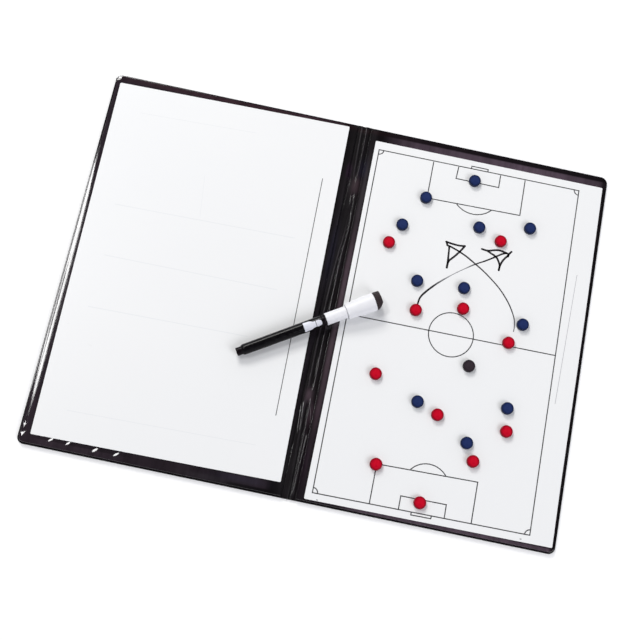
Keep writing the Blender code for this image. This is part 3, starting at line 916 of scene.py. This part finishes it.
# The two drawn arrows that cross, stroke by stroke: its widths, its strengths of ink and its places
STROKES = (
    (
        (1.3, 1.6, 1.5, 1.1, 0.7, 0.7, 1, 1.2, 1.4, 1.5), (1, 1, 1, 0.75, 0.3, 0.35, 0.9, 1, 1, 1),
        (72, 15.5), (73, 21), (76.2, 26.2), (82, 33), (87, 38), (96, 46), (104, 52.2), (112, 58),
        (120, 62.8), (127.2, 67.8), (132, 71.2), (135.4, 72.8),
    ),
    (1.6, 1, (115.2, 71.9), (120, 71.5), (125, 73), (130, 73.8), (137.5, 72.3)),
    (1.6, 1, (120, 71.2), (124, 69.5), (127.5, 67.8), (129.6, 65.3), (131.5, 61.5), (131.5, 57.2)),
    (1.6, 1, (137.2, 71.2), (134.5, 67.6), (132.7, 64), (131.7, 60), (131.6, 57.2)),
    (1.6, 1, (139.3, 74.8), (137.6, 72.4), (137.1, 70.2)),
    (
        (0.8, 1, 1, 1.05, 1.3, 1.5), (0.7, 0.95, 0.95, 0.95, 1, 1), (151.2, 9.5), (151.2, 14), (150, 20),
        (146, 28), (141, 35), (134, 42.5), (126, 49), (119, 54), (112, 58.2), (104, 62.8), (98, 65.5),
        (94, 67), (90, 68.3), (87.1, 68.9),
    ),
    (1.6, 1, (85.6, 71.7), (90.8, 71), (96, 70.7), (101.2, 71.3)),
    (1.6, 1, (101.2, 71.3), (98, 66), (94, 60.5), (91, 57), (90, 54.5)),
    ((1.5, 1.5, 1.8, 1.8), 1, (88.8, 68.2), (89.4, 60.5), (89.8, 55), (89.8, 50.3)),
    (1.6, 1, (86, 71.6), (87, 69)),
)


def build_pen_strokes():
    pen = Lines(PEN_RISE)
    for width, ink, *points in STROKES:
        pen.stroke(points, width, ink)
    ink = ink_finish("dry_wipe_ink", (0.008, 0.005, 0.008), 0.06, (0.50, 0.51, 0.53))
    pen.make("pen_strokes", ink, "right_cover")


# Turned pieces

def rounded(corners, steps):
    """A profile through (radius, height, rounding) corners."""
    points = [np.array(corner[:2], float) for corner in corners]
    out = [points[0]]
    for i in range(1, len(points) - 1):
        before, here, after = points[i - 1:i + 2]
        back, on = before - here, after - here
        reach = min(corners[i][2], 0.48 * np.linalg.norm(back), 0.48 * np.linalg.norm(on))
        if reach > 0:
            start = here + unit(back) * reach
            end = here + unit(on) * reach
            out += curve(start, here, end, steps)
        else:
            out.append(here)
    out.append(points[-1])
    return out


def polar(radius, angle, height):
    return radius * math.cos(angle) * mm, radius * math.sin(angle) * mm, height * mm


def lathe(name, profile, material, steps, closed=False, sharp=38.0, rough=None):
    """A turned body about Z. closed joins the profile's ends, as for a tube."""
    bm = bmesh.new()
    rings = []
    for radius, height in profile:
        if radius < 1e-6:
            rings.append([bm.verts.new((0, 0, height * mm))])
            continue
        ring = []
        for i in range(steps):
            angle = 2 * math.pi * i / steps
            r, z = rough(radius, height, angle) if rough else (radius, height)
            ring.append(bm.verts.new(polar(r, angle, z)))
        rings.append(ring)
    for near, far in zip(rings, rings[1:] + rings[:1] if closed else rings[1:]):
        bridge(bm, near, far)
    return finish_mesh(bm, name, material, sharp)


MAGNET_PROFILE = ((0.0, 3.5, 0), (3.3, 3.44, 1.5), (4.85, 3.32, 1.05), (4.85, 0.0, 0.3), (0.0, 0.0, 0))

# Each team's colour, and the darker one painted round a magnet's edge as shade
TEAM_COLOURS = {
    "blue": ((0.0128, 0.0248, 0.0985), (0.0055, 0.0120, 0.0500)),
    "red": ((0.490, 0.0006, 0.0150), (0.250, 0.0008, 0.0110)),
    "black": ((0.030, 0.021, 0.027), (0.020, 0.015, 0.019)),
}


def build_magnets():
    """Moulded caps over disc magnets, with a rounded top edge and a slight crown."""
    for node in sorted(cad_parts):
        if "magnet" not in node:
            continue
        team = node.split("_")[0]
        low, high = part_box(node)
        plastic = magnet_finish(f"{node}_plastic", *TEAM_COLOURS[team])
        disc = lathe(f"{node}_cap", rounded(MAGNET_PROFILE, 6), plastic, 56)
        disc.location = ((low.x + high.x) / 2, (low.y + high.y) / 2, low.z)
        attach(disc, node)
        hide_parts(node)


# The marker, with lengths along it from the plug's end, as in the part's source
PLUG_LENGTH = 4.4
SEAT_GAP = 0.2
BARREL_LENGTH = 66.4
BARREL_REAR = 8.6 / 2
BARREL_FRONT = 9.1 / 2
BORE = 7.0 / 2
COLLAR = 8.3 / 2
SEAT = 6.7 / 2
COLLAR_SHOWS = 3.1
COLLAR_IN_CAP = 4.2
CAP_RADIUS = 9.8 / 2
CAP_LENGTH = 17.2
HOLDER_LENGTH = 23.6
HOLDER_FRONT = 12.6 / 2
HOLDER_REAR = 14.8 / 2
BARREL_START = PLUG_LENGTH + SEAT_GAP
BARREL_END = BARREL_START + BARREL_LENGTH
COLLAR_START = BARREL_END + SEAT_GAP
CAP_START = COLLAR_START + COLLAR_SHOWS
CAP_END = CAP_START + CAP_LENGTH
HOLDER_START = CAP_END + SEAT_GAP
HOLDER_END = HOLDER_START + HOLDER_LENGTH
FELT_END = HOLDER_END + SEAT_GAP + 5.8

# From the spine's middle to the marker's tail, its heading in degrees, and the gap under it
MARKER_TAIL = (-62.3, -54.0)
MARKER_HEADING = 32.4
MARKER_GAP = 0.15


def marker_frame():
    """The marker's own Z along its length, tilted so that barrel and eraser holder both touch down."""
    rear_contact = BARREL_START + 0.8
    front_contact = HOLDER_END - 0.5
    tilt = math.atan2(HOLDER_REAR - BARREL_REAR, front_contact - rear_contact)
    height = SHEET_TOP + MARKER_GAP + BARREL_REAR * math.cos(tilt) - rear_contact * math.sin(tilt)
    tail = Vector((SPINE_X + MARKER_TAIL[0], SHIFT[1] + MARKER_TAIL[1], height)) * mm
    heading = Matrix.Rotation(math.radians(MARKER_HEADING), 4, "Z")
    return Matrix.Translation(tail) @ heading @ Matrix.Rotation(math.pi / 2 - tilt, 4, "Y")


def place_on_marker(piece, body, slot, *nodes):
    piece.matrix_world = marker_frame()
    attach(piece, body)
    if nodes:
        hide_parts(*nodes)


def barrel_radius(z):
    return BARREL_REAR + (BARREL_FRONT - BARREL_REAR) * (z - BARREL_START) / BARREL_LENGTH


# Columns of faces round a printed patch
PATCH_COLUMNS = 24


def wrapped_patch(name, outline, material, lift=0.035):
    """A printed patch on the barrel, from (length along, first angle, last angle) stations.

    The angles are in degrees from the barrel's top, and positive towards its -Y side.
    """
    bm = bmesh.new()
    rows = []
    for along, first, last in outline:
        row = []
        for i in range(PATCH_COLUMNS + 1):
            # the top of the marker faces its own -X once it lies down
            angle = math.pi + math.radians(first + (last - first) * i / PATCH_COLUMNS)
            row.append(bm.verts.new(polar(barrel_radius(along) + lift, angle, along)))
        rows.append(row)
    for near, far in zip(rows, rows[1:]):
        bridge(bm, near, far, closed=False)
    grown = bmesh.ops.extrude_face_region(bm, geom=bm.faces[:])
    for part in grown["geom"]:
        if isinstance(part, bmesh.types.BMVert):
            flat = Vector((part.co.x, part.co.y, 0))
            part.co -= flat.normalized() * (lift + 0.03) * mm
    place_on_marker(finish_mesh(bm, name, material), "marker", "barrel")


def frayed(radius, height, angle):
    """The felt's worn rim, rubbed away towards its -Y side, to the right of the marker's heading."""
    if height <= HOLDER_END + 0.4:
        return radius - 0.05, height
    spot = Vector((math.cos(angle) * 2.6, math.sin(angle) * 2.6, height * 0.9))
    worn = noise.noise(spot) * 0.16 if radius > 5.0 else 0.0
    reach = -radius * math.sin(angle) - 3.2
    if reach > 0.0:
        height = max(HOLDER_END + 0.5, min(height, FELT_END - 0.5 - 0.30 * reach ** 2))
    return radius + worn - 0.05, height + worn * 0.5


def turned(name, material, place, corners, finer=4, steps=64, **options):
    """A turned piece of the marker. Its place is its body, its slot, which is not used, and the node
    that it replaces.
    """
    piece = lathe(name, rounded(corners, finer), material, steps, **options)
    place_on_marker(piece, *place)


def build_marker():
    black = moulded_finish("marker_black", (0.0048, 0.0030, 0.0046), 0.24, 1.6, specular=0.10)
    glossy = moulded_finish("marker_tube", (0.0030, 0.0026, 0.0034), 0.15, 1.5, specular=0.13)
    white = moulded_finish("marker_white", (0.87, 0.87, 0.90), 0.33, 1.02, specular=0.3)

    turned("marker_plug", black, ("marker", "black_plastic", "marker_end_plug"), (
        (0, BARREL_START + 5, 0), (SEAT, BARREL_START + 5, 0.2), (SEAT, PLUG_LENGTH, 0),
        (3.3, PLUG_LENGTH, 0), (3.3, 0, 0.55), (2.2, 0, 0.1), (1.9, 0.35, 0.1), (0, 0.35, 0),
    ))
    turned("marker_barrel_shell", glossy, ("marker", "barrel", "marker_barrel"), (
        (BORE, BARREL_END, 0), (BARREL_FRONT, BARREL_END, 0.45), (BARREL_FRONT, BARREL_END - 2, 0),
        (BARREL_REAR, BARREL_START + 1.5, 0.6), (BARREL_REAR - 0.6, BARREL_START, 0.4),
        (BORE, BARREL_START, 0),
    ), steps=72, closed=True)

    tab = (
        (55.6, -35, 66), (56, -37, 69), (60.5, -31, 68), (61.9, -24, 62), (63.4, -13, 52), (64, -11, 50),
        (65.4, -11, 50), (66, -12, 52), (68.1, -11, 52), (69.2, -8, 49), (69.9, -2, 43), (70.3, 8, 33),
    )
    print_white = moulded_finish("marker_print", (0.76, 0.77, 0.84), 0.4, 1.04)
    wrapped_patch("marker_white_tab", tab, print_white)
    dark_print = ink_finish("marker_print_line", (0.05, 0.05, 0.055), 0.2)
    wrapped_patch("marker_tab_line", [(65.4, -11, 51), (65.85, -11, 51)], dark_print, 0.06)

    collar_end = CAP_START + COLLAR_IN_CAP
    nose_end = collar_end + 4.5
    ring = COLLAR_START + COLLAR_SHOWS / 2
    turned("marker_collar", black, ("marker", "black_plastic", "marker_nib_holder"), (
        (1.65, nose_end, 0), (2.5, nose_end, 0.3), (COLLAR - 0.8, collar_end, 0.3),
        (COLLAR, collar_end - 0.8, 0.3), (COLLAR, ring + 0.35, 0.1), (COLLAR + 0.25, ring + 0.2, 0.1),
        (COLLAR + 0.25, ring - 0.2, 0.1), (COLLAR, ring - 0.35, 0.1), (COLLAR, COLLAR_START, 0.2),
        (SEAT, COLLAR_START, 0), (SEAT, BARREL_END - 6, 0.2), (1.65, BARREL_END - 6, 0),
    ), closed=True)
    turned("marker_cap_shell", white, ("marker_cap", "white_plastic", "marker_cap"), (
        (0, CAP_END + 9, 0), (4, CAP_END + 9, 0.3), (4, CAP_END, 0), (CAP_RADIUS, CAP_END, 0.25),
        (CAP_RADIUS, CAP_START, 0.5), (COLLAR + 0.15, CAP_START, 0.15),
        (COLLAR + 0.15, CAP_END - 1.5, 0.2), (0, CAP_END - 1.5, 0),
    ), steps=72)
    turned("marker_eraser_cup", white, ("marker_cap", "white_plastic", "marker_eraser_holder"), (
        (0, HOLDER_END - 2.5, 0), (6.45, HOLDER_END - 2.5, 0.2), (6.45, HOLDER_END, 0.15),
        (HOLDER_REAR, HOLDER_END, 0.45), (HOLDER_REAR - 0.15, HOLDER_END - 4, 3),
        (HOLDER_FRONT + 0.85, HOLDER_START + 12, 5), (HOLDER_FRONT + 0.15, HOLDER_START + 5, 3),
        (HOLDER_FRONT, HOLDER_START + 1.6, 0.3), (HOLDER_FRONT + 0.12, HOLDER_START + 1.2, 0.2),
        (HOLDER_FRONT + 0.12, HOLDER_START, 0.3), (4.15, HOLDER_START, 0.2),
        (4.15, HOLDER_START + 9, 0.2), (0, HOLDER_START + 9, 0),
    ), 6, steps=72)
    felt = felt_finish("marker_felt", (0.011, 0.005, 0.006), (0.050, 0.027, 0.031))
    turned("marker_felt_disc", felt, ("marker_cap", "felt", "marker_felt_pad"), (
        (0, FELT_END, 0), (2.4, FELT_END - 0.05, 0.6), (4.6, FELT_END - 0.2, 1.5),
        (7.25, FELT_END - 0.6, 0.6), (7.25, FELT_END - 2.6, 0.8), (7.25, HOLDER_END + 0.3, 0.3),
        (6.3, HOLDER_END + 0.25, 0.1), (6.3, HOLDER_END - 2.2, 0.3), (0, HOLDER_END - 2.2, 0),
    ), 5, steps=80, rough=frayed, sharp=80.0)


def dress_kept_nodes():
    """Better materials for the CAD nodes that stay."""
    for finish, names in (
        (sheet_finish("hidden_sheet"), ("writing_sheet", "pitch_sheet")),
        (
            felt_finish("ink_fibre", (0.03, 0.03, 0.035), (0.08, 0.08, 0.09)),
            ("marker_ink_reservoir", "marker_nib"),
        ),
        (steel_finish("tinned_steel"), ("left_steel_sheet", "right_steel_sheet")),
        (board_finish("grey_board"), ("left_board", "right_board")),
    ):
        for name in names:
            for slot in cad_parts[name].material_slots:
                slot.material = finish


# Light, floor and camera

FLOOR_SIZE = 6.0
FLOOR_DROP = 0.0002
FLOOR_GLOW = 0.24


def build_floor():
    bm = bmesh.new()
    bmesh.ops.create_grid(bm, x_segments=4, y_segments=4, size=FLOOR_SIZE)
    bmesh.ops.translate(bm, verts=bm.verts, vec=(0, 0, -FLOOR_DROP))
    white = (0.86, 0.86, 0.87)
    made = Finish("studio_floor", white, 0.9)
    made.paint(made.noise(1.5, 2.0), white, (0.87, 0.87, 0.875))
    made.set("Specular IOR Level", 0.0)
    rays = made.node("ShaderNodeLightPath")
    seen = made.maths("MAXIMUM", rays.outputs["Is Camera Ray"], rays.outputs["Is Glossy Ray"])
    seen = made.maths("MAXIMUM", seen, rays.outputs["Is Transmission Ray"])
    made.set("Emission Color", (1.0, 1.0, 1.0, 1.0))
    made.set("Emission Strength", made.maths("MULTIPLY", seen, FLOOR_GLOW))
    floor = finish_mesh(bm, "studio_floor", made.material)


def build_world():
    """Bright round the horizon, darker overhead, so that the vinyl's flat faces stay black."""
    world = bpy.data.worlds.new("studio")
    bpy.context.scene.world = world
    world.use_nodes = True
    nodes, link = world.node_tree.nodes, world.node_tree.links.new
    background = nodes["Background"]
    coords = nodes.new("ShaderNodeTexCoord")
    split = nodes.new("ShaderNodeSeparateXYZ")
    shade = nodes.new("ShaderNodeMapRange")
    shade.interpolation_type = "SMOOTHSTEP"
    for key, value in (("From Min", 0.38), ("From Max", 0.74), ("To Min", 0.75), ("To Max", 0.05)):
        shade.inputs[key].default_value = value
    link(coords.outputs["Generated"], split.inputs[0])
    link(split.outputs["Z"], shade.inputs["Value"])
    link(shade.outputs["Result"], background.inputs["Strength"])
    background.inputs["Color"].default_value = (0.93, 0.945, 1.0, 1.0)


def add_lamp(name, place, size, power, colour, turn=None):
    """An area lamp, aimed at the folder's middle unless it is turned about Y by these degrees."""
    data = bpy.data.lights.new(name, "AREA")
    data.shape = "RECTANGLE"
    data.size, data.size_y = size
    data.energy = power
    data.color = colour
    lamp = add_object(name, data)
    lamp.location = place
    if turn is None:
        lamp.rotation_euler = (-Vector(place)).to_track_quat("-Z", "Y").to_euler()
    else:
        lamp.rotation_euler = (0.0, math.radians(turn), 0.0)


def build_light():
    build_world()
    build_floor()
    add_lamp("strip", (-1.107, 0.4835, 2.0), (0.2, 0.717), 12.5, (1.0, 1.0, 1.0), -29.0)
    add_lamp("back_soft", (-0.95, 1.75, 1.65), (0.9, 0.7), 34.0, (1.0, 0.99, 0.96))
    add_lamp("front_fill", (1.5, -0.9, 1.6), (1.2, 1.2), 21.5, (0.955, 0.96, 1.0))


# The camera's place about the spine's middle, in metres, and how it is turned
CAMERA_PLACE = (-0.0076003, -0.2017116, 0.7710989)
CAMERA_TURN = (
    (0.9783715, 0.1990088, 0.0564336),
    (-0.2067129, 0.9507406, 0.2310023),
    (-0.0076822, -0.2376716, 0.9713152),
)


def build_camera():
    data = bpy.data.cameras.new("camera")
    data.sensor_width = 36.0
    data.lens = 56.25
    camera = add_object("camera", data)
    place = Vector(CAMERA_PLACE) + Vector((*SHIFT, 0.0)) * mm
    camera.matrix_world = Matrix.Translation(place) @ Matrix(CAMERA_TURN).transposed().to_4x4()
    bpy.context.scene.camera = camera


bpy.context.scene.view_settings.view_transform = "Standard"
build_camera()
build_light()
dress_kept_nodes()
build_vinyl()
build_sheets()
build_print()
build_pen_strokes()
build_magnets()
build_marker()
